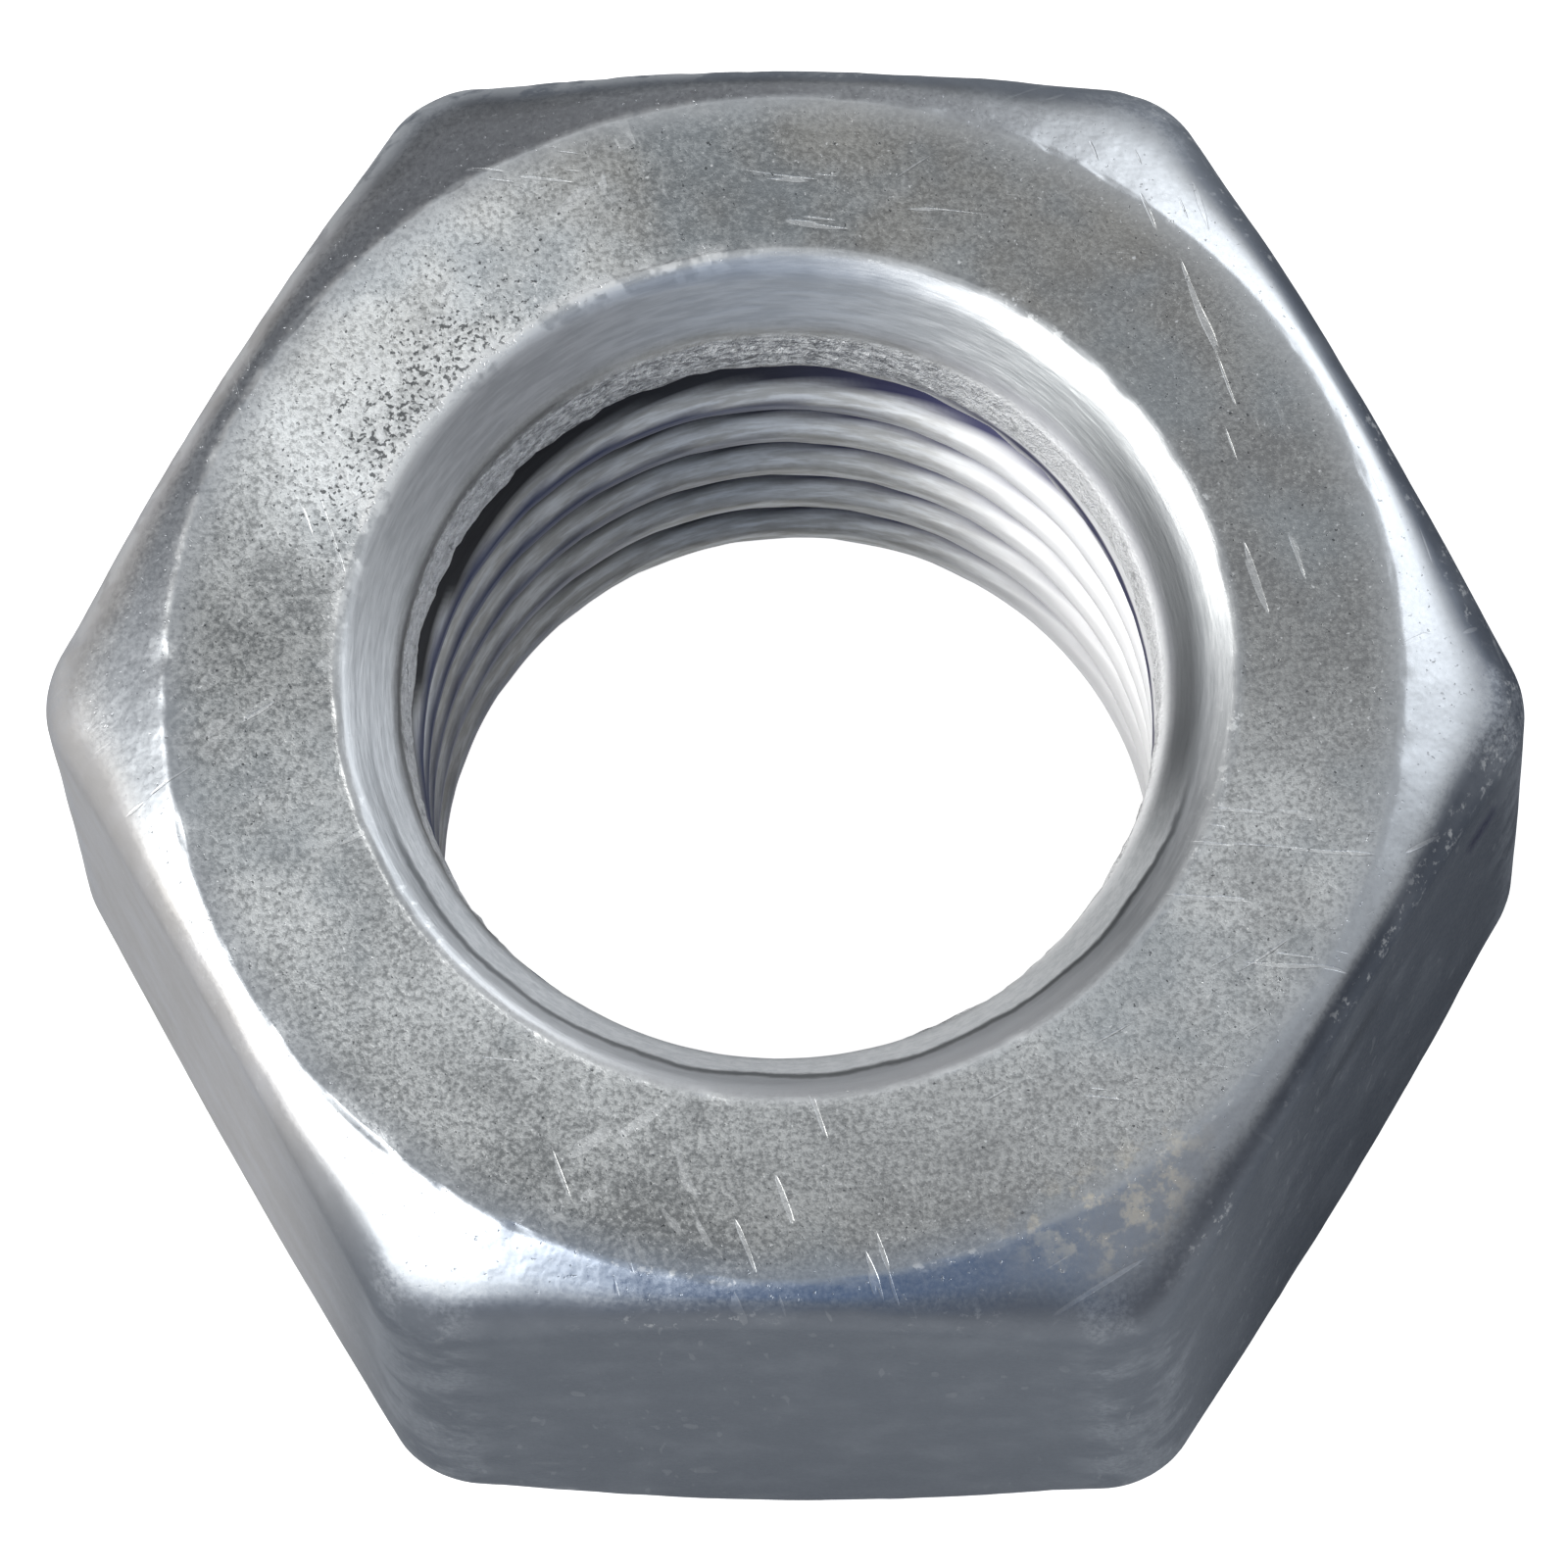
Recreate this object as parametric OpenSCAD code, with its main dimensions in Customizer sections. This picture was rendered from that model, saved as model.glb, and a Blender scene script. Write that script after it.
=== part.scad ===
// Hexagon nut, one piece, with chamfered corners and countersunk mouths on both faces.
// Origin: the thread axis where it meets the lower bearing face. +Z runs up the thread
// axis. Two of the six wrench flats face -Y and +Y. Millimetres.

/* [Hexagon] */
// Distance between two opposite wrench flats
across_flats = 30; // [29.6:0.2:36]
// Height from bearing face to bearing face
nut_height = 18; // [12:0.5:26]
// Radius of the six rounded upright edges
corner_r = 2.2; // [0.5:0.1:3]

/* [Thread] */
// Nominal thread diameter, at the bottom of the grooves
thread_d = 20; // [14:0.5:21]
// Distance from one groove to the next
thread_pitch = 2.5; // [1.5:0.25:3]
// Height of the middle of the lowest groove above the lower bearing face
first_groove_z = 2.75; // [2:0.05:3.5]

/* [Bearing faces] */
// Diameter of the flat ring on the upper face
upper_face_d = 28.3; // [22.8:0.1:29.5]
// Diameter of the flat ring on the lower face
lower_face_d = 29.4; // [22.8:0.1:29.5]
// Slope of the corner chamfers, measured from the bearing face
chamfer_angle = 30; // [15:1:40]

/* [Countersinks] */
// Width of each countersink's mouth beyond the thread diameter
countersink_extra_d = 0.4; // [0:0.1:1.4]
// Slope of the countersinks, measured from the bearing face
countersink_angle = 45; // [30:1:60]

/* [Hidden] */

// Smoothness of the round surfaces
fine = 180;
// Cuts run past the faces that they open by this much
past = 1;

flat_r = across_flats / 2;
sharp_corner_r = flat_r / cos(30);
corner_centre_r = (flat_r - corner_r) / cos(30);
// Half the straight width of one flat, between its two rounded edges
flat_half_w = corner_centre_r * sin(30);

// Metric thread form: 60 degree flanks, a crest flat a quarter of the pitch wide and
// a groove bottom an eighth of the pitch wide, five eighths of a full triangle deep
thread_triangle_h = thread_pitch * cos(30);
groove_depth = thread_triangle_h * 5 / 8;
minor_r = thread_d / 2 - groove_depth;
groove_mouth_h = thread_pitch * 3 / 4;
groove_floor_h = thread_pitch / 8;

mouth_r = (thread_d + countersink_extra_d) / 2;
countersink_h = (mouth_r - minor_r) * tan(countersink_angle);
groove_count = floor((nut_height - 2 * first_groove_z) / thread_pitch) + 1;

// The two ends of one wrench flat's straight stretch, seen from above
function flat_ends(i) = [
    let (a = 60 * i - 90) [
        flat_r * cos(a) + flat_half_w * sin(a),
        flat_r * sin(a) - flat_half_w * cos(a)
    ],
    let (a = 60 * i - 90) [
        flat_r * cos(a) - flat_half_w * sin(a),
        flat_r * sin(a) + flat_half_w * cos(a)
    ]
];

// Hexagonal bar with rounded upright edges
module hexagon_bar() {
    linear_extrude(height = nut_height)
        union() {
            polygon([for (i = [0:5]) each flat_ends(i)]);
            for (i = [0:5])
                rotate([0, 0, 60 * i])
                    translate([corner_centre_r, 0])
                        circle(r = corner_r, $fn = fine);
        }
}

// Round envelope whose two cones chamfer the bar's corners
module chamfer_envelope() {
    rim_r = sharp_corner_r + past;
    upper_r = upper_face_d / 2;
    lower_r = lower_face_d / 2;
    slope = tan(chamfer_angle);
    rotate_extrude($fn = fine)
        polygon([
            [0, 0],
            [lower_r, 0],
            [rim_r, (rim_r - lower_r) * slope],
            [rim_r, nut_height - (rim_r - upper_r) * slope],
            [upper_r, nut_height],
            [0, nut_height]
        ]);
}

// Plain hole at the thread's crest diameter
module bore() {
    translate([0, 0, -past])
        cylinder(r = minor_r, h = nut_height + 2 * past, $fn = fine);
}

// Conical mouth, drawn opening downwards at z = 0
module countersink() {
    rotate_extrude($fn = fine)
        polygon([
            [0, -past],
            [mouth_r + past / tan(countersink_angle), -past],
            [minor_r, countersink_h],
            [0, countersink_h]
        ]);
}

// One closed thread groove around the bore, centred at z = 0
module thread_groove() {
    groove_r = minor_r + groove_depth;
    rotate_extrude($fn = fine)
        polygon([
            [0, -groove_mouth_h / 2],
            [minor_r, -groove_mouth_h / 2],
            [groove_r, -groove_floor_h / 2],
            [groove_r, groove_floor_h / 2],
            [minor_r, groove_mouth_h / 2],
            [0, groove_mouth_h / 2]
        ]);
}

module hex_nut() {
    color("lightsteelblue")
        difference() {
            intersection() {
                hexagon_bar();
                chamfer_envelope();
            }
            bore();
            countersink();
            translate([0, 0, nut_height])
                mirror([0, 0, 1])
                    countersink();
            for (i = [0:groove_count - 1])
                translate([0, 0, first_groove_z + thread_pitch * i])
                    thread_groove();
        }
}

hex_nut();
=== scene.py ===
"""A zinc-plated steel hex nut on a pale floor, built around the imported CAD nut.

The CAD nut carries the sizes. Its thread is a row of closed ring grooves, so one detailed
mesh stands for it here: the same hexagon, chamfers and countersinks with soft forged
edges, a true right-hand helical thread, burrs, nicks and tool marks.
"""

import math

import bpy
import numpy as np
from mathutils import Matrix, Vector, noise


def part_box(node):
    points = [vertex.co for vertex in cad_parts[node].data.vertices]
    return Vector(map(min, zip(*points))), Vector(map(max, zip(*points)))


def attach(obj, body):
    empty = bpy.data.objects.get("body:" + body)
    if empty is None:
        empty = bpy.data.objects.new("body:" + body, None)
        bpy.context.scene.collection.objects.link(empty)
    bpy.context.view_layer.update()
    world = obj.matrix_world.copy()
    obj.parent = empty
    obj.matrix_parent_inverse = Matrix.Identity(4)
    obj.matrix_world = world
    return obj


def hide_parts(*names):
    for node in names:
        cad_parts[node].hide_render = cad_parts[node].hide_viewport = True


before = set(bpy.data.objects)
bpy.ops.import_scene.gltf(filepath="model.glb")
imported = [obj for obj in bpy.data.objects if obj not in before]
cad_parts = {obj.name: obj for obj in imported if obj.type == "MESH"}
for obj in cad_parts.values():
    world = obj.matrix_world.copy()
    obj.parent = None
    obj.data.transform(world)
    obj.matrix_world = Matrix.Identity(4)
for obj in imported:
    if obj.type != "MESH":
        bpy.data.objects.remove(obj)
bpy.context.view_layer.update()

# ------------------------------------------------------------------ sizes, in metres
MM = 0.001
NODE = "hex_nut"
LOW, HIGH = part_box(NODE)
FLAT_R = (HIGH[1] - LOW[1]) / 2
HEIGHT = HIGH[2] - LOW[2]
CORNER_R = 2.2 * MM
UPPER_FACE_R = 14.15 * MM
LOWER_FACE_R = 14.45 * MM
CHAMFER_SLOPE = math.tan(math.radians(30))

# Roundings along the profile: the faces' rims, and the flats' upper and lower edges, which
# are rounder at the corners of the hexagon
UPPER_RIM_ROUND, LOWER_RIM_ROUND = 0.5 * MM, 0.2 * MM
SHOULDER_ROUND, SHOULDER_CORNER_EXTRA = 0.9 * MM, 0.8 * MM
HEEL_ROUND, HEEL_CORNER_EXTRA = 0.8 * MM, 1.0 * MM

# The countersinks are a little out of round, stand a little to the back, and have a soft edge
MOUTH_R = 10.02 * MM
MOUTH_OVAL = 0.08 * MM
MOUTH_SHIFT = 0.22 * MM
MOUTH_ROUND_LEFT, MOUTH_ROUND_RIGHT = 0.18 * MM, 0.52 * MM
# Angle round the axis, in radians, at which the edge is softest
MOUTH_ROUND_AT = 0.35
MOUTH_FLARE = 0.6
# The bearing faces begin this far outside the soft edge, and their worn band is this wide
MOUTH_MARGIN = 0.08 * MM
MOUTH_WORN = 0.12 * MM
COUNTERSINK_SLOPE = 1.0

# Rolled burrs make the crests a little prouder than the CAD bore, most at the lower end
THREAD_R = 9.95 * MM
PITCH = 2.5 * MM
CREST_R = 8.42 * MM
CREST_TAPER = 0.2 * MM
BORE_OVAL = 0.2 * MM
BORE_LEAN = 0.22 * MM
# Height of a groove's middle where the helix crosses the +X axis
GROOVE_Z = 10.3 * MM
# The countersink has pushed a burr into the last turn, which fills its groove to this depth
FILLED_FROM, FILLED_TO = 14.1 * MM, 15.4 * MM
FILLED_DEPTH = 0.16 * MM
# The torn ring runs from a lip, which rises to the front, up to the clean countersink
LIP_BACK, LIP_FRONT = 15.15 * MM, 16.3 * MM
TORN_TOP = 16.65 * MM
TORN_SLOPE = 0.25
# On the left the ring stands back from the thread
RING_SET_BACK = 0.14 * MM
# Behind, the first groove under the lip is torn wider upwards, by twice this, and less deep
WIDE_GROOVE = 0.26 * MM
WIDE_GROOVE_R = 9.3 * MM
# Widths over which the bore's surfaces blend: at crests, in the grooves' floors, at the
# countersinks and the torn groove, and at the ring
CREST_BLEND, FLOOR_BLEND, CUT_BLEND, RING_BLEND = 0.06 * MM, 0.08 * MM, 0.05 * MM, 0.03 * MM

# How deep the surface's waves, dents and lumps are, and the ring's crumbs and the bore's waves
WAVE_DEPTH, DENT_DEPTH, LUMP_DEPTH = 0.05 * MM, 0.16 * MM, 0.008 * MM
CRUMB_DEPTH, BORE_GRAIN_DEPTH, BORE_WAVE_DEPTH = 0.06 * MM, 0.006 * MM, 0.02 * MM

# Painted shade in the thread's grooves starts this far behind the crests
ROOT_FROM, ROOT_TO = 0.30 * MM, 0.55 * MM
# Height of the painted shade line on the first groove's upper edge, above the groove's middle
EDGE_ABOVE = 1.27 * MM
# Width of the painted shade line on a crest, and how much more it is on the left
CREST_LINE, CREST_LINE_EXTRA = 0.12 * MM, 0.14 * MM

# ------------------------------------------------------------------ mesh density
# Degrees between columns at a corner and along a flat, and how far a corner's columns reach
CORNER_STEP = 0.55
FLAT_STEP = 1.05
CORNER_SPAN = 5.5
BORE_ROWS = 160

# The zones of the surface, each an attribute of the mesh that the material reads
ZONES = ("face", "chamfer", "side", "countersink", "thread")


def smooth_max(a, b, width):
    """The larger of two arrays, blended over width where they cross."""
    mix = np.clip(0.5 + 0.5 * (a - b) / width, 0, 1)
    return b + (a - b) * mix + width * mix * (1 - mix)


def ramp(value, start, end):
    """0 before start, 1 after end, with eased ends."""
    t = np.clip((value - start) / (end - start), 0, 1)
    return t * t * (3 - 2 * t)


def fractal(points, size, seed, octaves=3):
    """Fractal noise of about -1 to 1 at each point, with features of the given size."""
    offset = Vector((seed, seed * 1.7, seed * 0.3))
    scaled = (points.reshape(-1, 3) / size).tolist()
    values = [noise.fractal(Vector(p) + offset, 1.0, 2.0, octaves) for p in scaled]
    return np.array(values).reshape(points.shape[:-1])


# ------------------------------------------------------------------ the hexagon
def column_angles():
    """Angles of the mesh's columns, in radians, closer together at the six corners."""
    near = np.arange(0, CORNER_SPAN, CORNER_STEP)
    count = int(round((60 - 2 * CORNER_SPAN) / FLAT_STEP))
    middle = np.linspace(CORNER_SPAN, 60 - CORNER_SPAN, count + 1)
    far = 60 - near[1:][::-1]
    sector = np.concatenate([near, middle, far])
    return np.radians(np.concatenate([sector + 60 * i for i in range(6)]))


def hexagon_radius(theta):
    """Distance from the axis to the side of the rounded hexagon, corners on X."""
    from_corner = np.abs((theta + math.pi / 6) % (math.pi / 3) - math.pi / 6)
    centre = (FLAT_R - CORNER_R) / math.cos(math.pi / 6)
    touch = math.atan2(CORNER_R / 2, centre + CORNER_R * math.cos(math.pi / 6))
    side = FLAT_R / np.cos(math.pi / 6 - from_corner)
    reach = CORNER_R**2 - (centre * np.sin(from_corner)) ** 2
    arc = centre * np.cos(from_corner) + np.sqrt(np.maximum(reach, 0))
    return np.where(from_corner < touch, arc, side)


def mouth_radius(theta):
    """Distance from the axis to where a countersink's cone would meet the face."""
    return MOUTH_R + MOUTH_OVAL * np.cos(2 * theta) + MOUTH_SHIFT * np.sin(theta)


def mouth_round(theta):
    """Depth over which a countersink's edge is rounded, which is most on the right."""
    share = ((1 + np.cos(theta - MOUTH_ROUND_AT)) / 2) ** 1.5
    return MOUTH_ROUND_LEFT + (MOUTH_ROUND_RIGHT - MOUTH_ROUND_LEFT) * share


def rounded_corner(before, corner, after, radius, steps):
    """Rows of an arc that rounds one corner of the profile, in every column at once.

    before, corner and after are arrays of (radius, height), one pair for each column.
    """
    to_a = before - corner
    to_b = after - corner
    to_a = to_a / np.linalg.norm(to_a, axis=1, keepdims=True)
    to_b = to_b / np.linalg.norm(to_b, axis=1, keepdims=True)
    half = np.arccos(np.clip((to_a * to_b).sum(1), -1, 1)) / 2
    bisector = to_a + to_b
    bisector /= np.linalg.norm(bisector, axis=1, keepdims=True)
    centre = corner + bisector * (radius / np.sin(half))[:, None]
    cut = (radius / np.tan(half))[:, None]
    start = corner + to_a * cut - centre
    end = corner + to_b * cut - centre
    sweep = math.pi - 2 * half
    rows = []
    for t in np.linspace(0, 1, steps):
        share_a = np.sin((1 - t) * sweep) / np.sin(sweep)
        share_b = np.sin(t * sweep) / np.sin(sweep)
        rows.append(centre + start * share_a[:, None] + end * share_b[:, None])
    return rows


def between(start, end, count):
    """Profile rows evenly spaced between two rows, without the two."""
    return [start + (end - start) * t for t in np.linspace(0, 1, count + 2)[1:-1]]


def outside_rows(theta):
    """Rows from the upper mouth, round the outside, to the lower mouth.

    Each is a (zone, wear, row) triple, where wear is high along an exposed edge.
    """
    side_r = hexagon_radius(theta)
    cornerness = ramp(side_r, FLAT_R, FLAT_R * 1.1)

    def at(radius, height):
        return np.stack([radius + 0 * theta, height + 0 * theta], axis=1)

    mouth_edge = mouth_radius(theta) + MOUTH_FLARE * mouth_round(theta) + MOUTH_MARGIN
    upper_mouth = at(mouth_edge, HEIGHT)
    upper_rim = at(UPPER_FACE_R, HEIGHT)
    upper_edge = at(side_r, HEIGHT - (side_r - UPPER_FACE_R) * CHAMFER_SLOPE)
    lower_edge = at(side_r, (side_r - LOWER_FACE_R) * CHAMFER_SLOPE)
    lower_rim = at(LOWER_FACE_R, 0)
    lower_mouth = at(mouth_edge, 0)

    rim = rounded_corner(upper_mouth, upper_rim, upper_edge, UPPER_RIM_ROUND + 0 * theta, 5)
    shoulder_r = SHOULDER_ROUND + SHOULDER_CORNER_EXTRA * cornerness
    shoulder = rounded_corner(upper_rim, upper_edge, lower_edge, shoulder_r, 10)
    heel_r = HEEL_ROUND + HEEL_CORNER_EXTRA * cornerness
    heel = rounded_corner(upper_edge, lower_edge, lower_rim, heel_r, 8)
    low_rim = rounded_corner(lower_edge, lower_rim, lower_mouth, LOWER_RIM_ROUND + 0 * theta, 4)

    stretches = (
        ("face", 2.0, [upper_mouth]),
        ("face", 0.0, [at(mouth_edge + MOUTH_WORN, HEIGHT)]),
        ("face", 0.0, between(upper_mouth, rim[0], 10)),
        ("chamfer", 0.8, rim),
        ("chamfer", 0.0, between(rim[-1], shoulder[0], 4)),
        ("side", 0.4, shoulder),
        ("side", 0.0, between(shoulder[-1], heel[0], 14)),
        ("side", 0.4, heel),
        ("chamfer", 0.0, between(heel[-1], low_rim[0], 3)),
        ("chamfer", 0.8, low_rim),
        ("face", 0.0, between(low_rim[-1], lower_mouth, 8)),
        ("face", 1.6, [lower_mouth]),
    )
    rows = []
    for zone, most, stretch in stretches:
        for number, row in enumerate(stretch):
            across = (number + 0.5) / len(stretch)
            rows.append((zone, most * math.sin(math.pi * across) ** 2, row))
    return rows


# ------------------------------------------------------------------ the bore
def lip_height(theta):
    """Height of the torn ring's lip."""
    return LIP_BACK + (LIP_FRONT - LIP_BACK) * (1 - np.sin(theta)) / 2


def crest_radius(theta, height):
    """Distance from the axis to the thread's crests, which lean and close in lower down."""
    depth = 1 - height / HEIGHT
    closing = CREST_TAPER + BORE_OVAL * np.cos(theta) ** 2 + BORE_LEAN * np.cos(theta)
    return CREST_R - depth * closing


def groove_wall(from_middle):
    """Distance from the axis to a 60 degree groove's flank, this far from its middle."""
    return THREAD_R - (from_middle - PITCH / 16) / math.tan(math.radians(30))


def first_groove(theta):
    """Angle from the right round the back, and height of the first groove's middle there."""
    angle = (theta + math.pi / 2) % (2 * math.pi) - math.pi / 2
    return angle, GROOVE_Z + PITCH + PITCH * angle / (2 * math.pi)


def left_side(theta):
    """1 on the bore's left side, in first_groove's angle, where the ring stands back."""
    angle, _ = first_groove(theta)
    return ramp(angle, 1.9, 2.7) * ramp(angle, 4.3, 3.7)


def right_side(theta):
    """1 on the bore's right side, where a painted shade line runs along the first groove's upper
    edge.
    """
    angle, _ = first_groove(theta)
    return ramp(angle, -0.75, -0.2) * ramp(angle, 1.5, 0.9)


def torn_groove(theta, height):
    """The first groove, torn wider upwards from the right round the back to the left."""
    angle, middle = first_groove(theta)
    wide = WIDE_GROOVE * ramp(angle, -0.5, 1.4) * ramp(angle, 4.6, 3.7)
    wall = groove_wall(np.abs(height - middle - wide) - wide)
    share = wide / WIDE_GROOVE
    return np.minimum(wall, CREST_R + (WIDE_GROOVE_R - CREST_R) * share)


def thread_radius(theta, height):
    """Distance from the axis to the wall of a right-hand metric thread."""
    crest = crest_radius(theta, height)
    turn = (height - GROOVE_Z) / PITCH - theta / (2 * math.pi)
    whole = np.round(turn)
    from_middle = np.abs(turn - whole) * PITCH
    middle = GROOVE_Z + (whole + theta / (2 * math.pi)) * PITCH
    filled = ramp(middle, FILLED_FROM, FILLED_TO)
    floor_r = THREAD_R + (crest + FILLED_DEPTH - THREAD_R) * filled
    wall = smooth_max(groove_wall(from_middle), crest, CREST_BLEND)
    wall = -smooth_max(-wall, -floor_r, FLOOR_BLEND)
    return smooth_max(wall, torn_groove(theta, height), CUT_BLEND)


def bore_row(theta, height):
    """The bore's profile at one height: thread, torn ring and countersinks."""
    level = height + 0 * theta
    wall = thread_radius(theta, level)
    above_lip = level - lip_height(theta)
    set_back = RING_SET_BACK * left_side(theta) * ramp(above_lip, -0.3 * MM, -0.1 * MM)
    throat = CREST_R + set_back + TORN_SLOPE * np.maximum(above_lip, 0)
    wall = smooth_max(wall, throat, RING_BLEND)
    depth = np.minimum(level, HEIGHT - level)
    rounding = mouth_round(theta)
    flare = MOUTH_FLARE * np.maximum(rounding - depth, 0) ** 2 / rounding
    cone = mouth_radius(theta) - depth / COUNTERSINK_SLOPE + flare
    return np.stack([smooth_max(wall, cone, CUT_BLEND), level], axis=1)


def bore_rows(theta):
    """Rows up the bore, from the lower mouth to the upper one."""
    rows = []
    for height in np.linspace(0, HEIGHT, BORE_ROWS + 1):
        end_depth = min(height, HEIGHT - height)
        zone = "countersink" if end_depth < HEIGHT - TORN_TOP else "thread"
        wear = 1.0 if end_depth < 0.15 * MM else 0.0
        rows.append((zone, wear, bore_row(theta, height)))
    return rows


# ------------------------------------------------------------------ wear and damage
def inward(points, amount):
    """Moves points towards the axis and away from the two faces, by amount each."""
    axis_distance = np.linalg.norm(points[..., :2], axis=-1, keepdims=True)
    moved = points.copy()
    moved[..., :2] *= 1 - amount[..., None] / axis_distance
    middle = HEIGHT / 2
    moved[..., 2] = middle + (points[..., 2] - middle) * (1 - amount / middle)
    return moved


def weather(points, zones, wear):
    """Waviness all over, dented edges and a torn ring; nothing outside moves outwards.

    Returns the moved points, and how much each belongs to the torn ring.
    """
    wavy = 0.5 + 0.5 * fractal(points, 5 * MM, 3.1)
    lumpy = 0.5 + 0.5 * fractal(points, 1.1 * MM, 8.7, 4)
    outside = 1 - zones["thread"] - zones["countersink"]
    dents = np.clip(lumpy - 0.45, 0, 1) * np.minimum(wear, 1)
    amount = WAVE_DEPTH * wavy + DENT_DEPTH * dents + LUMP_DEPTH * lumpy
    moved = inward(points, amount * np.clip(outside, 0, 1))

    # In the bore the same noise moves the wall out or in along its radius
    torn_noise = fractal(points * np.array([1, 1, 2.2]), 0.55 * MM, 21.3, 3)
    height = points[..., 2]
    inner = zones["thread"] + zones["countersink"]
    lip = lip_height(np.arctan2(points[..., 1], points[..., 0]))
    torn = ramp(height, lip - 0.3 * MM, lip) * ramp(height, TORN_TOP, TORN_TOP - 0.3 * MM)
    shift = (CRUMB_DEPTH * torn + BORE_GRAIN_DEPTH) * torn_noise + BORE_WAVE_DEPTH * (wavy - 0.5)
    axis_distance = np.linalg.norm(points[..., :2], axis=-1)
    moved[..., :2] *= (1 + shift * np.clip(inner, 0, 1) / axis_distance)[..., None]
    return moved, torn * inner


def blurred(values, passes=2):
    """Row values averaged with their neighbours round the closed profile."""
    for _ in range(passes):
        values = (np.roll(values, 1) + 2 * values + np.roll(values, -1)) / 4
    return values


def painted_thread_shade(theta, radius, height, thread, torn):
    """Where shade is painted in the thread, as two shares: lines on its crests, and its grooves.
    """
    behind_crest = radius - crest_radius(theta, height)
    below_lip = ramp(height, lip_height(theta), lip_height(theta) - 0.3 * MM)
    crest_width = CREST_LINE + CREST_LINE_EXTRA * left_side(theta)
    crest = ramp(behind_crest, crest_width, crest_width / 4) * below_lip * thread

    # On the left it reaches nearer the crests, from the first groove up
    angle, middle = first_groove(theta)
    in_first = ramp(height - middle, -1.25 * MM, -1.05 * MM) * left_side(theta)
    nearer = 1 - 0.62 * in_first
    root = ramp(radius - CREST_R, ROOT_FROM * nearer, ROOT_TO * nearer) * thread * (1 - torn)

    # On the right the painted shade is a line along the first groove's upper edge
    edge = middle + EDGE_ABOVE + 2 * WIDE_GROOVE * ramp(angle, -0.5, 1.4)
    edge_line = ramp(np.abs(height - edge), 0.24 * MM, 0.10 * MM) * right_side(theta)
    return crest, np.maximum(root, edge_line)


def grid_quads(row_count, column_count):
    """Corners of the quads between neighbouring rows and columns, where both close up."""
    row, column = np.mgrid[0:row_count, 0:column_count]
    this_row = row * column_count
    next_row = (row + 1) % row_count * column_count
    next_column = (column + 1) % column_count
    corners = (
        this_row + column,
        next_row + column,
        next_row + next_column,
        this_row + next_column,
    )
    return np.stack(corners, axis=-1).reshape(-1, 4)


def nut_mesh():
    """The nut's surface: rows of the profile joined into one closed mesh of quads."""
    theta = column_angles()
    rows = outside_rows(theta) + bore_rows(theta)
    profile = np.array([row for _, _, row in rows])
    radius, height = profile[..., 0], profile[..., 1]
    labels = np.array([zone for zone, _, _ in rows])
    every_column = np.ones_like(radius)
    zones = {z: blurred((labels == z) * 1.0)[:, None] * every_column for z in ZONES}
    wear = blurred(np.array([w for _, w, _ in rows]), 1)[:, None] * every_column
    points = np.stack([radius * np.cos(theta), radius * np.sin(theta), height], axis=-1)
    points, torn = weather(points, zones, wear)
    # Painted shade in the thread, stored in the crest and root attributes
    crest, root = painted_thread_shade(theta, radius, height, zones["thread"], torn)
    upright = zones["side"] * ramp(hexagon_radius(theta), FLAT_R * 1.09, FLAT_R * 1.12)
    shares = {"wear": wear, "torn": torn, "crest": crest, "root": root, "upright": upright}

    mesh = bpy.data.meshes.new("hex_nut_body")
    mesh.from_pydata(points.reshape(-1, 3).tolist(), [], grid_quads(*radius.shape).tolist())
    mesh.shade_smooth()
    for name, values in (zones | shares).items():
        attribute = mesh.attributes.new(name, "FLOAT", "POINT")
        attribute.data.foreach_set("value", values.reshape(-1).astype(np.float32))
    return mesh


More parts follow.
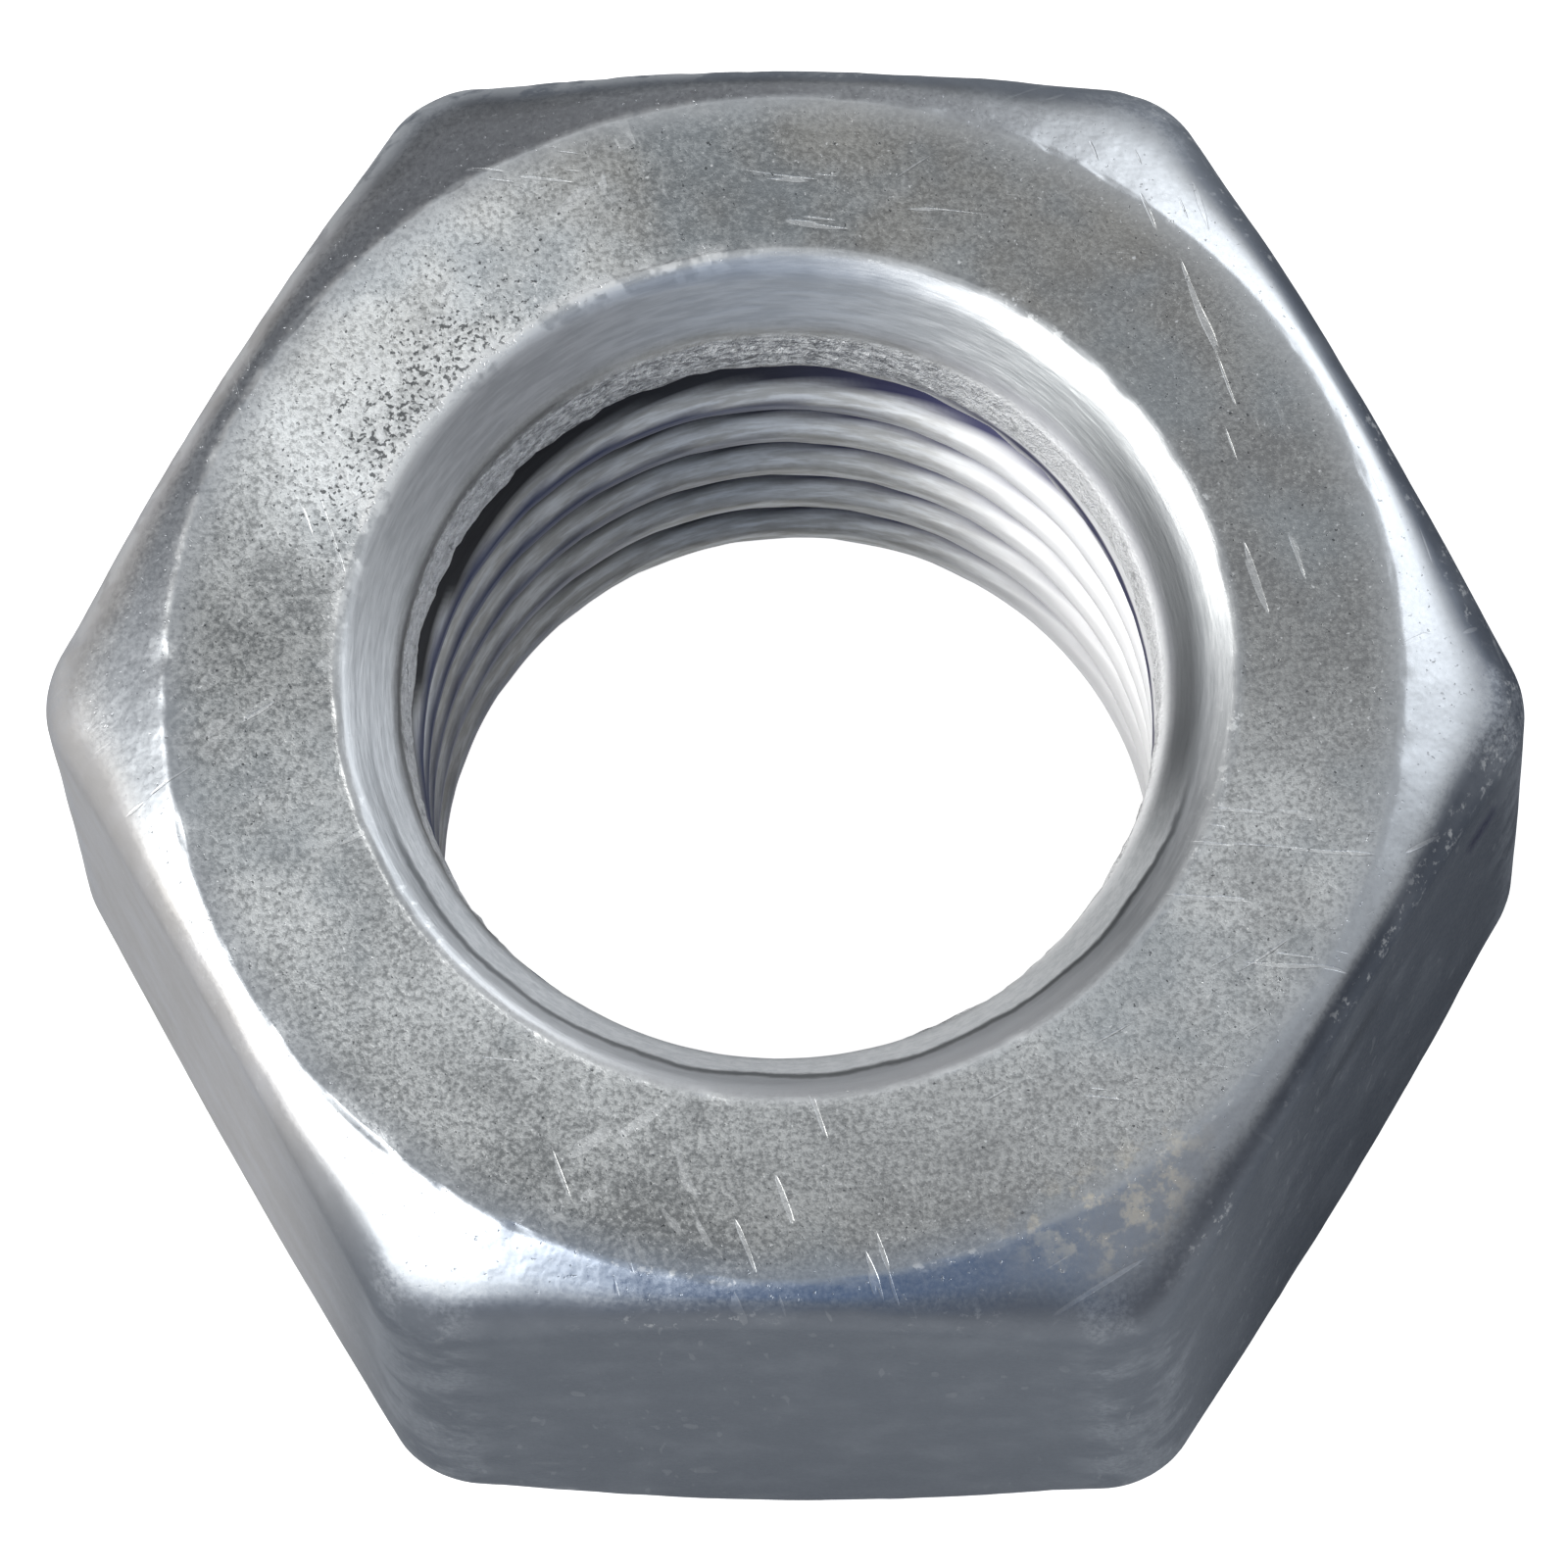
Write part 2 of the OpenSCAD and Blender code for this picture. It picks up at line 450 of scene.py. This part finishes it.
# ------------------------------------------------------------------ shader building
class Nodes:
    """Short names for adding nodes to the tree of a material or a world."""

    def __init__(self, owner):
        owner.use_nodes = True
        self.tree = owner.node_tree

    def link(self, value, socket):
        """Sets a socket to a value, or links it when the value is another socket."""
        if isinstance(value, bpy.types.NodeSocket):
            self.tree.links.new(value, socket)
        else:
            socket.default_value = value

    def add(self, kind, inputs, **settings):
        """A node with its settings, and with each input set or linked."""
        node = self.tree.nodes.new(kind)
        for name, value in settings.items():
            setattr(node, name, value)
        for key, value in inputs.items():
            self.link(value, node.inputs[key])
        return node

    def math(self, operation, a, b=0.0):
        return self.add("ShaderNodeMath", {0: a, 1: b}, operation=operation).outputs[0]

    def vector(self, operation, a, b=(0.0, 0.0, 0.0)):
        node = self.add("ShaderNodeVectorMath", {0: a, 1: b}, operation=operation)
        return node.outputs["Value" if operation == "LENGTH" else "Vector"]

    def scaled(self, vector, factor):
        node = self.add("ShaderNodeVectorMath", {0: vector, "Scale": factor}, operation="SCALE")
        return node.outputs["Vector"]

    def attribute(self, name):
        return self.add("ShaderNodeAttribute", {}, attribute_name=name).outputs["Fac"]

    def noise(self, vector, per_mm, detail=2.0, rough=0.5, warp=0.0):
        inputs = {
            "Vector": vector,
            "Scale": per_mm,
            "Detail": detail,
            "Roughness": rough,
            "Distortion": warp,
        }
        return self.add("ShaderNodeTexNoise", inputs).outputs[0]

    def ramp(self, value, low, high, to_low=0.0, to_high=1.0):
        inputs = {
            "Value": value,
            "From Min": low,
            "From Max": high,
            "To Min": to_low,
            "To Max": to_high,
        }
        kind = "ShaderNodeMapRange"
        return self.add(kind, inputs, interpolation_type="SMOOTHSTEP").outputs["Result"]

    def mix(self, factor, a, b):
        """Colour a, turning to colour b as the factor goes from 0 to 1."""
        node = self.add("ShaderNodeMix", {}, data_type="RGBA")
        sockets = {socket.name: socket for socket in node.inputs if socket.enabled}
        for name, value in (("Factor", factor), ("A", a), ("B", b)):
            self.link(value, sockets[name])
        return next(socket for socket in node.outputs if socket.enabled)

    def axes(self, vector):
        """The X, Y and Z parts of a vector."""
        return self.add("ShaderNodeSeparateXYZ", {"Vector": vector}).outputs[0:3]

    def total(self, *values):
        result = values[0]
        for value in values[1:]:
            result = self.math("ADD", result, value)
        return result

    def product(self, *values):
        result = values[0]
        for value in values[1:]:
            result = self.math("MULTIPLY", result, value)
        return result


# ------------------------------------------------------------------ zinc plate
EDGE_TINT = (0.55, 0.57, 0.60, 1)
FACE_GREY = (0.22, 0.23, 0.235, 1)
# Painted light on the bearing face, where it is softest
FACE_PAINTED_LIGHT_SOFT = (0.52, 0.54, 0.55, 1)
FACE_PALE = (0.52, 0.535, 0.535, 1)
# Painted light on the bearing face, where it is strongest
FACE_PAINTED_LIGHT = (0.92, 0.95, 0.96, 1)
FACE_EVEN = (0.275, 0.28, 0.285, 1)
FACE_EVEN_PALE = (0.42, 0.43, 0.43, 1)
STAIN_BROWN = (0.37, 0.35, 0.31, 1)
PLATE_BLUE = (0.36, 0.40, 0.43, 1)
CHAMFER_BLUE = (0.47, 0.50, 0.54, 1)
# Painted light on the chamfers, back right
CHAMFER_PAINTED_LIGHT = (0.70, 0.73, 0.76, 1)
# Painted shade on the chamfers, in front
CHAMFER_PAINTED_SHADE = (0.32, 0.37, 0.45, 1)
# Painted shade and light on the flats: shade on the right, half shade in front, light on the
# left in two tints
SIDE_PAINTED_SHADE = (0.10, 0.113, 0.138, 1)
SIDE_PAINTED_HALF_SHADE = (0.20, 0.22, 0.252, 1)
SIDE_PAINTED_LIGHT = (0.62, 0.615, 0.63, 1)
SIDE_PAINTED_LIGHT_WARM = (0.53, 0.52, 0.515, 1)
SEAM_GREY = (0.68, 0.71, 0.73, 1)
# Painted shade low on the countersink's right
CUT_PAINTED_SHADE = (0.24, 0.25, 0.26, 1)
CUT_GREY = (0.46, 0.48, 0.50, 1)
CUT_PALE = (0.58, 0.60, 0.62, 1)
# Painted light on the countersink, in front
CUT_PAINTED_LIGHT = (0.90, 0.92, 0.94, 1)
TORN_GREY = (0.27, 0.28, 0.30, 1)
TORN_PALE = (0.86, 0.88, 0.90, 1)
THREAD_GREY = (0.52, 0.52, 0.50, 1)
THREAD_PALE = (0.78, 0.80, 0.81, 1)
# Painted light on the bore's right wall and on the torn ring
THREAD_PAINTED_LIGHT = (0.97, 0.98, 1.0, 1)
# Painted shade in the thread: navy lines on the crests, black and navy in the roots
CREST_SHADE_BLUE = (0.08, 0.095, 0.18, 1)
ROOT_SHADE_BLACK = (0.014, 0.014, 0.018, 1)
ROOT_SHADE_BLUE = (0.012, 0.012, 0.075, 1)
WORN_BRIGHT = (0.86, 0.88, 0.89, 1)
# A painted warm highlight on one chamfer
WARM_PAINTED_HIGHLIGHT = (0.86, 0.80, 0.68, 1)
PIT_DARK = (0.045, 0.05, 0.055, 1)

# In millimetres: the middle of the bearing face's painted light, where it is most pitted, a
# chamfer's painted warm highlight, and the height of the dark seam in the front of the
# countersink
PAINTED_LIGHT_SPOT = (-8.5, 7.5, 0.0)
PIT_SPOT = (-7.6, 6.0, 0.0)
WARM_HIGHLIGHT_SPOT = (7.2, -11.4, 0.0)
SEAM_Z = 17.62
# Keeps the patches' noise apart from the others
PATCHES_SHIFT = (31.0, 7.0, 3.0)
# Noise drawn out round the axis: its circle's radius, and how much finer it is on the ring
RING_SIZE = 1.5
TORN_STRETCH = (4.5, 4.5, 1.6)


class Plate(Nodes):
    """The plate's nodes, with the places, zones and noises that its colour and relief share.

    x, y and z are in millimetres. across and back are the direction from the axis, -1 to 1:
    across is 1 on the right, and back is 1 behind.
    """

    def __init__(self, material):
        super().__init__(material)
        self.place = self.scaled(self.add("ShaderNodeTexCoord", {}).outputs["Object"], 1 / MM)
        self.flat_place = self.vector("MULTIPLY", self.place, (1, 1, 0))
        self.radius = self.vector("LENGTH", self.flat_place)
        self.across, self.back, _ = self.axes(self.vector("NORMALIZE", self.flat_place))
        self.x, self.y, self.z = self.axes(self.place)
        self.add_zones()
        self.add_noises()

    def add_zones(self):
        """Shares of the mesh's zones, and of the places that more than one function reads."""
        self.face = self.attribute("face")
        self.chamfer = self.attribute("chamfer")
        self.side = self.attribute("side")
        self.countersink = self.attribute("countersink")
        self.thread = self.attribute("thread")
        self.torn = self.attribute("torn")
        bore = self.total(self.countersink, self.thread)
        # Share of the bore's right side, where light is painted on the thread and the torn ring
        self.painted_light_right = self.product(self.ramp(self.across, 0.2, 0.75), bore)
        # Share of the bearing face's painted light, back left
        self.painted_light_area = self.ramp(self.distance_to(PAINTED_LIGHT_SPOT), 8.0, 3.0)

    def add_noises(self):
        """Noise at each scale that the plate shows, and the seam that follows one of them."""
        ring_axes = {
            "X": self.math("MULTIPLY", self.across, RING_SIZE),
            "Y": self.math("MULTIPLY", self.back, RING_SIZE),
            "Z": self.math("ADD", self.radius, self.z),
        }
        ring_place = self.add("ShaderNodeCombineXYZ", ring_axes).outputs[0]
        self.clouds = self.noise(self.place, 0.22, 3.0, 0.55)
        self.patches = self.noise(self.vector("ADD", self.place, PATCHES_SHIFT), 0.5, 4.0, 0.6)
        self.speckle = self.noise(self.place, 7.5, 3.0, 0.75)
        self.grain = self.math("SUBTRACT", self.speckle, 0.5)
        self.rings = self.noise(ring_place, 5.0, 3.0, 0.65)
        self.streaks = self.ramp(self.rings, 0.34, 0.68)
        torn_place = self.vector("MULTIPLY", ring_place, TORN_STRETCH)
        self.torn_noise = self.noise(torn_place, 4.0, 4.0, 0.75)
        self.torn_grain = self.ramp(self.torn_noise, 0.38, 0.62)
        self.above_seam = self.total(self.z, self.product(self.patches, 0.35), -SEAM_Z)
        self.in_front = self.ramp(self.back, -0.1, -0.5)
        self.below_seam = self.product(self.ramp(self.above_seam, 0.0, -0.1), self.in_front)

    def distance_to(self, spot):
        """Distance from a spot, seen along the axis."""
        return self.vector("LENGTH", self.vector("SUBTRACT", self.flat_place, spot))

    def scratches(self, angle, per_mm, cut, stretch=14):
        """Short thin straight lines at one angle across the nut, 1 on a line."""
        inputs = {
            "Vector": self.place,
            "Rotation": (0, 0, math.radians(angle)),
            "Scale": (1, stretch, 4),
        }
        turned = self.add("ShaderNodeMapping", inputs, vector_type="TEXTURE").outputs[0]
        line = self.ramp(self.noise(turned, per_mm, 1.0), cut, cut + 0.03)
        return self.product(line, self.ramp(self.noise(turned, 0.3, 1.0), 0.5, 0.58))


def pit_marks(p):
    """Dark pits and bright flecks, thickest back left beside the countersink."""
    share = p.ramp(p.distance_to(PIT_SPOT), 1.0, 6.5, 0.13, -0.02)
    share = p.product(share, p.ramp(p.radius, 10.8, 13.0, 1.0, 0.25))
    pit_level = p.math("ADD", p.noise(p.place, 8.0, 2.0, 0.55), share)
    fleck_level = p.math("ADD", p.noise(p.place, 7.0, 2.0, 0.6), share)
    pits = p.product(p.ramp(pit_level, 0.67, 0.74), p.total(p.face, p.product(p.chamfer, 0.3)))
    return pits, p.product(p.ramp(fleck_level, 0.66, 0.74), p.face, 0.8)


def scratch_marks(p):
    """Thin cuts in three directions, and wider dashes on the left of the bearing face."""
    cuts = p.total(
        p.scratches(20, 4.4, 0.69),
        p.scratches(-58, 3.8, 0.69),
        p.scratches(84, 5.0, 0.69),
    )
    cuts = p.product(cuts, p.total(p.face, p.product(p.chamfer, 0.6), p.product(p.side, 0.2)))
    dashes = p.total(p.scratches(-50, 3.0, 0.60, 4), p.scratches(28, 3.4, 0.61, 4))
    return cuts, p.product(dashes, p.face, p.ramp(p.x, 5.0, -4.0))


def bright_metal(p, flecks, cuts, dashes):
    """Bare bright steel: worn edges, chipped most back left, torn metal, flecks and cuts."""
    glints = p.ramp(p.noise(p.place, 3.2, 4.0, 0.7), 0.55, 0.66)
    back_left = p.product(p.ramp(p.x, 2.0, -3.0), p.ramp(p.y, -2.0, 3.0))
    chipped = p.product(back_left, p.ramp(p.noise(p.place, 1.1, 3.0, 0.6), 0.38, 0.52))
    rubbed = p.math("MAXIMUM", p.ramp(p.clouds, 0.46, 0.58), chipped)
    worn = p.product(p.attribute("wear"), rubbed, p.math("MAXIMUM", glints, chipped))
    torn = p.product(p.torn, p.math("MAXIMUM", glints, p.ramp(p.torn_noise, 0.58, 0.66)))
    bright = p.total(worn, torn, p.product(cuts, 0.45), flecks, p.product(dashes, 0.5))
    return p.math("MINIMUM", bright, 1.0)


def dark_marks(p, pits):
    """Dark pits, and dark hollows in the torn ring."""
    hollows = p.product(p.torn, p.ramp(p.noise(p.place, 2.4, 3.0, 0.7), 0.42, 0.34), 0.4)
    return p.math("MINIMUM", p.total(p.product(pits, 0.78), hollows), 1.0)


def face_colour(p):
    """The bearing faces: mottled grey, with painted light back left and in front, stained
    behind.
    """
    blotches = p.total(p.product(p.speckle, 0.65), p.product(p.patches, 0.35))
    mottled = p.ramp(blotches, 0.40, 0.62)
    grained = p.mix(mottled, FACE_GREY, FACE_PALE)
    even = p.mix(mottled, FACE_EVEN, FACE_EVEN_PALE)
    colour = p.mix(p.ramp(p.x, -6.0, 8.0), grained, even)
    # Painted light on the bearing face, back left and in front
    light = p.mix(p.ramp(p.speckle, 0.34, 0.56), FACE_PAINTED_LIGHT_SOFT, FACE_PAINTED_LIGHT)
    front = p.product(p.ramp(p.y, 1.0, -4.0), p.ramp(p.y, -14.0, -7.0))
    pale = p.math("MAXIMUM", p.painted_light_area, p.product(front, 0.65))
    colour = p.mix(p.product(pale, p.ramp(p.patches, 0.3, 0.6, 0.6, 1.0)), colour, light)
    stained = p.product(p.ramp(p.y, 4.0, 12.0), p.ramp(p.clouds, 0.36, 0.66), 0.45)
    colour = p.mix(stained, colour, STAIN_BROWN)
    return p.mix(p.ramp(p.clouds, 0.52, 0.34, 0.0, 0.5), colour, PLATE_BLUE)


def chamfer_colour(p):
    """The chamfers: bluish, with painted light back right, painted shade in front and one
    painted warm highlight.
    """
    back_right = p.total(p.product(p.across, 0.5), p.product(p.back, 0.87))
    # Painted light back right, then painted shade in front
    colour = p.mix(p.ramp(back_right, 0.1, 0.95), CHAMFER_BLUE, CHAMFER_PAINTED_LIGHT)
    colour = p.mix(p.ramp(p.back, -0.84, -0.98), colour, CHAMFER_PAINTED_SHADE)
    # A painted warm highlight, front right
    ragged = p.ramp(p.noise(p.place, 1.5, 4.0, 0.65), 0.47, 0.62)
    warm = p.product(p.ramp(p.distance_to(WARM_HIGHLIGHT_SPOT), 3.2, 1.0), ragged)
    return p.mix(warm, colour, WARM_PAINTED_HIGHLIGHT)


def side_colour(p):
    """The flats: painted light on the left, painted half shade in front, painted shade on the
    right, with rubbed corners.
    """
    # Painted light on the left, painted half shade in front, painted shade on the right
    light = p.mix(p.ramp(p.patches, 0.30, 0.75), SIDE_PAINTED_LIGHT_WARM, SIDE_PAINTED_LIGHT)
    colour = p.mix(p.ramp(p.across, -0.85, -0.5), light, SIDE_PAINTED_HALF_SHADE)
    colour = p.mix(p.ramp(p.across, 0.5, 0.85), colour, SIDE_PAINTED_SHADE)
    colour = p.mix(p.ramp(p.patches, 0.4, 0.8, 0.0, 0.18), colour, CHAMFER_BLUE)
    rubbed = p.product(p.ramp(p.speckle, 0.3, 0.7), p.ramp(p.patches, 0.40, 0.56), 0.5)
    return p.mix(p.product(p.attribute("upright"), rubbed), colour, CHAMFER_BLUE)


def countersink_colour(p):
    """Turned grey, with painted shade low on the right and painted light in front; in front a
    thin dark seam with torn metal below.
    """
    colour = p.mix(p.streaks, CUT_GREY, CUT_PALE)
    # Painted light in front, then painted shade low on the right
    colour = p.mix(p.ramp(p.back, -0.5, -0.95), colour, CUT_PAINTED_LIGHT)
    low_right = p.product(p.ramp(p.across, 0.55, 0.95), p.ramp(p.z, 17.6, 17.2))
    colour = p.mix(low_right, colour, CUT_PAINTED_SHADE)
    torn = p.mix(p.torn_grain, SEAM_GREY, TORN_PALE)
    colour = p.mix(p.product(p.below_seam, 0.7), colour, torn)
    seam = p.product(p.ramp(p.math("ABSOLUTE", p.above_seam), 0.12, 0.02), p.in_front)
    return p.mix(p.product(seam, 0.6), colour, PIT_DARK)


def bore_colour(p, colour):
    """The colour with the bore's added: pale thread with painted light on the right, painted
    navy shade on the crests, torn ring and painted shade in the roots.
    """
    # Painted light on the thread's right side
    thread = p.mix(p.painted_light_right, p.mix(p.streaks, THREAD_GREY, THREAD_PALE), THREAD_PAINTED_LIGHT)
    colour = p.mix(p.thread, colour, thread)
    # Painted navy shade lines on the crests, fainter on the right and low down
    fade_right = p.ramp(p.across, 0.8, 0.2, 0.3, 1.0)
    fade_down = p.ramp(p.z, 1.0, 11.0, 0.9, 1.0)
    crest = p.product(p.attribute("crest"), p.product(fade_right, fade_down))
    colour = p.mix(crest, colour, CREST_SHADE_BLUE)
    # Painted light on the torn ring: on the right, and half as much on the left
    torn_left_painted_light = p.product(p.ramp(p.across, -0.55, -0.95), 0.5)
    torn_painted_light = p.math("MAXIMUM", p.product(p.painted_light_right, 0.8), torn_left_painted_light)
    torn = p.mix(torn_painted_light, p.mix(p.torn_grain, TORN_GREY, TORN_PALE), THREAD_PAINTED_LIGHT)
    colour = p.mix(p.torn, colour, torn)
    # Painted shade in the roots, navy behind on the right
    bluish = p.product(p.ramp(p.across, -0.3, 0.6), p.ramp(p.back, -0.5, 0.1))
    root = p.mix(bluish, ROOT_SHADE_BLACK, ROOT_SHADE_BLUE)
    return p.mix(p.product(p.attribute("root"), 0.97), colour, root)


def plate_colour(p, bright, dark):
    """Each zone's colour, then the bright and the dark marks over them all."""
    colour = p.mix(p.product(p.chamfer, 0.85), face_colour(p), chamfer_colour(p))
    colour = p.mix(p.side, colour, side_colour(p))
    colour = p.mix(p.countersink, colour, countersink_colour(p))
    colour = p.mix(bright, bore_colour(p, colour), WORN_BRIGHT)
    return p.mix(dark, colour, PIT_DARK)


def plate_metallic(p):
    """Metal all over, duller in the bore and below the countersink's seam."""
    return p.total(
        1.0,
        p.product(p.thread, -0.5),
        p.product(p.torn, -0.15),
        p.product(p.countersink, -0.12),
        p.product(p.countersink, p.below_seam, -0.4),
        # Duller where light is painted on the thread's right side
        p.product(p.painted_light_right, p.thread, -0.35),
    )


def plate_roughness(p, pits):
    """Satin, grained outside, roughest where light is painted back left on the bearing face, and
    in pits.
    """
    return p.total(
        0.38,
        p.product(p.grain, p.total(p.face, p.chamfer, p.side), 0.3),
        p.product(p.painted_light_area, p.face, 0.16),
        p.product(p.chamfer, -0.05),
        p.product(p.side, 0.04),
        p.product(p.thread, 0.06),
        p.product(pits, 0.2),
    )


def plate_relief(p, pits, cuts):
    """Height of the fine relief, in millimetres."""
    return p.total(
        p.product(p.grain, p.total(p.product(p.face, 0.018), p.product(p.torn, 0.22))),
        p.product(pits, -0.02),
        p.product(cuts, -0.008),
        p.product(p.rings, p.total(p.product(p.face, 0.008), p.product(p.countersink, 0.009))),
        p.product(p.patches, p.total(p.product(p.chamfer, 0.04), p.product(p.side, 0.015))),
    )


def zinc_plate():
    """Dull zinc over turned, forged and cut steel, with pits, stains and worn edges, and painted
    light and shade.
    """
    material = bpy.data.materials.new("zinc_plate")
    p = Plate(material)
    pits, flecks = pit_marks(p)
    cuts, dashes = scratch_marks(p)
    colour = plate_colour(p, bright_metal(p, flecks, cuts, dashes), dark_marks(p, pits))
    relief = {"Height": plate_relief(p, pits, cuts), "Distance": MM, "Strength": 1.0}
    bump = p.add("ShaderNodeBump", relief)
    surface = p.tree.nodes["Principled BSDF"]
    surface.inputs["Specular Tint"].default_value = EDGE_TINT
    p.link(colour, surface.inputs["Base Color"])
    p.link(plate_metallic(p), surface.inputs["Metallic"])
    p.link(plate_roughness(p, pits), surface.inputs["Roughness"])
    p.link(bump.outputs["Normal"], surface.inputs["Normal"])
    return material


# ------------------------------------------------------------------ the nut
nut = bpy.data.objects.new("nut_body", nut_mesh())
bpy.context.scene.collection.objects.link(nut)
nut.data.materials.append(zinc_plate())
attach(nut, "root")
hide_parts(NODE)

# ------------------------------------------------------------------ floor
FLOOR_HALF = 1.5
PAPER_GREY = (0.60, 0.60, 0.60, 1)
# The paper's glow round the nut and under the bore, and the glow that the camera sees
GLOW, BORE_GLOW, GLOW_SEEN = 0.08, 0.4, 0.95
# Distances from the axis between which the bore's glow fades to the other
BORE_GLOW_R, GLOW_R = 8 * MM, 10 * MM


def pale_floor():
    """A square of plain pale paper, which the camera sees a little brighter than it is lit."""
    mesh = bpy.data.meshes.new("floor")
    corners = [(-1, -1), (1, -1), (1, 1), (-1, 1)]
    points = [(x * FLOOR_HALF, y * FLOOR_HALF, 0) for x, y in corners]
    mesh.from_pydata(points, [], [(0, 1, 2, 3)])
    floor = bpy.data.objects.new("floor", mesh)
    bpy.context.scene.collection.objects.link(floor)
    material = bpy.data.materials.new("pale_paper")
    s = Nodes(material)
    surface = s.tree.nodes["Principled BSDF"]
    surface.inputs["Base Color"].default_value = PAPER_GREY
    surface.inputs["Roughness"].default_value = 0.95
    surface.inputs["Emission Color"].default_value = (1, 1, 1, 1)
    place = s.add("ShaderNodeTexCoord", {}).outputs["Object"]
    glow = s.ramp(s.vector("LENGTH", place), BORE_GLOW_R, GLOW_R, BORE_GLOW, GLOW)
    seen = s.add("ShaderNodeLightPath", {}).outputs["Is Camera Ray"]
    strength = s.math("MAXIMUM", glow, s.product(seen, GLOW_SEEN))
    s.link(strength, surface.inputs["Emission Strength"])
    mesh.materials.append(material)
    return floor


pale_floor()


# ------------------------------------------------------------------ lights
SOFT_BOX_DISTANCE = 0.5


def soft_box(name, direction, width, height, radiance, colour):
    """An area light that shines on the nut from a direction, its width level."""
    light = bpy.data.lights.new(name, "AREA")
    light.shape = "RECTANGLE"
    light.size, light.size_y = width, height
    light.energy = radiance * math.pi * width * height
    light.color = colour
    lamp = bpy.data.objects.new(name, light)
    bpy.context.scene.collection.objects.link(lamp)
    lamp.visible_camera = False
    place = Vector(direction).normalized() * SOFT_BOX_DISTANCE
    lamp.location = place + Vector((0, 0, HEIGHT / 2))
    lamp.rotation_euler = place.to_track_quat("Z", "Y").to_euler()


soft_box(
    "key_light",
    direction=(-0.64, -0.26, 0.70),
    width=0.42,
    height=0.26,
    radiance=7.0,
    colour=(1.0, 0.98, 0.94),
)
soft_box(
    "fill_light",
    direction=(0.68, 0.62, 0.38),
    width=0.50,
    height=0.30,
    radiance=1.5,
    colour=(0.93, 0.96, 1.0),
)

STUDIO_LIGHT = (0.57, 0.58, 0.59, 1)
# Cosine from a wall part's direction within which it has its full colour
PART_FULL = 0.97
# Parts of the studio's walls, as (direction, cosine at which it starts, colour)
WALL_PARTS = (
    ((-0.42, 0.87, 0.25), 0.50, (0.14, 0.14, 0.15, 1)),
    ((0.75, -0.60, 0.15), 0.75, (0.26, 0.26, 0.28, 1)),
    ((-0.03, -0.69, 0.72), 0.82, (0.17, 0.25, 0.40, 1)),
)


def studio_walls():
    """Soft surrounding light: pale, but dim behind left and front right, bluish in front."""
    world = bpy.data.worlds.new("studio")
    bpy.context.scene.world = world
    s = Nodes(world)
    heading = s.add("ShaderNodeTexCoord", {}).outputs["Generated"]
    colour = STUDIO_LIGHT
    for direction, start, part_colour in WALL_PARTS:
        toward = Vector(direction).normalized()
        node = s.add("ShaderNodeVectorMath", {0: heading, 1: toward}, operation="DOT_PRODUCT")
        colour = s.mix(s.ramp(node.outputs["Value"], start, PART_FULL), colour, part_colour)
    s.link(colour, s.tree.nodes["Background"].inputs["Color"])


studio_walls()
bpy.context.scene.view_settings.view_transform = "Standard"

# ------------------------------------------------------------------ camera
CAMERA_AZIMUTH = math.radians(5.7)
CAMERA_ELEVATION = math.radians(73.54)
CAMERA_ROLL = math.radians(-5.12)
CAMERA_DISTANCE = 0.33
CAMERA_LENS = 323.0
CAMERA_SENSOR = 36.0
# How far the camera stands right of and above the line to the aim point
CAMERA_SIDE, CAMERA_RISE = -0.22 * MM, 0.62 * MM
AIM = Vector((0, 0, 7.5 * MM))


def place_camera():
    """A long lens that looks down on the nut, a little from the right, rolled slightly."""
    level = math.cos(CAMERA_ELEVATION)
    back = Vector(
        (
            math.sin(CAMERA_AZIMUTH) * level,
            -math.cos(CAMERA_AZIMUTH) * level,
            math.sin(CAMERA_ELEVATION),
        )
    )
    right = Vector((math.cos(CAMERA_AZIMUTH), math.sin(CAMERA_AZIMUTH), 0))
    right = Matrix.Rotation(CAMERA_ROLL, 3, back) @ right
    up = back.cross(right)
    data = bpy.data.cameras.new("camera")
    data.lens = CAMERA_LENS
    data.sensor_width = CAMERA_SENSOR
    data.clip_start = 0.01
    camera = bpy.data.objects.new("camera", data)
    bpy.context.scene.collection.objects.link(camera)
    place = AIM + back * CAMERA_DISTANCE + right * CAMERA_SIDE + up * CAMERA_RISE
    axes = Matrix((right, up, back)).transposed().to_4x4()
    camera.matrix_world = Matrix.Translation(place) @ axes
    bpy.context.scene.camera = camera


place_camera()

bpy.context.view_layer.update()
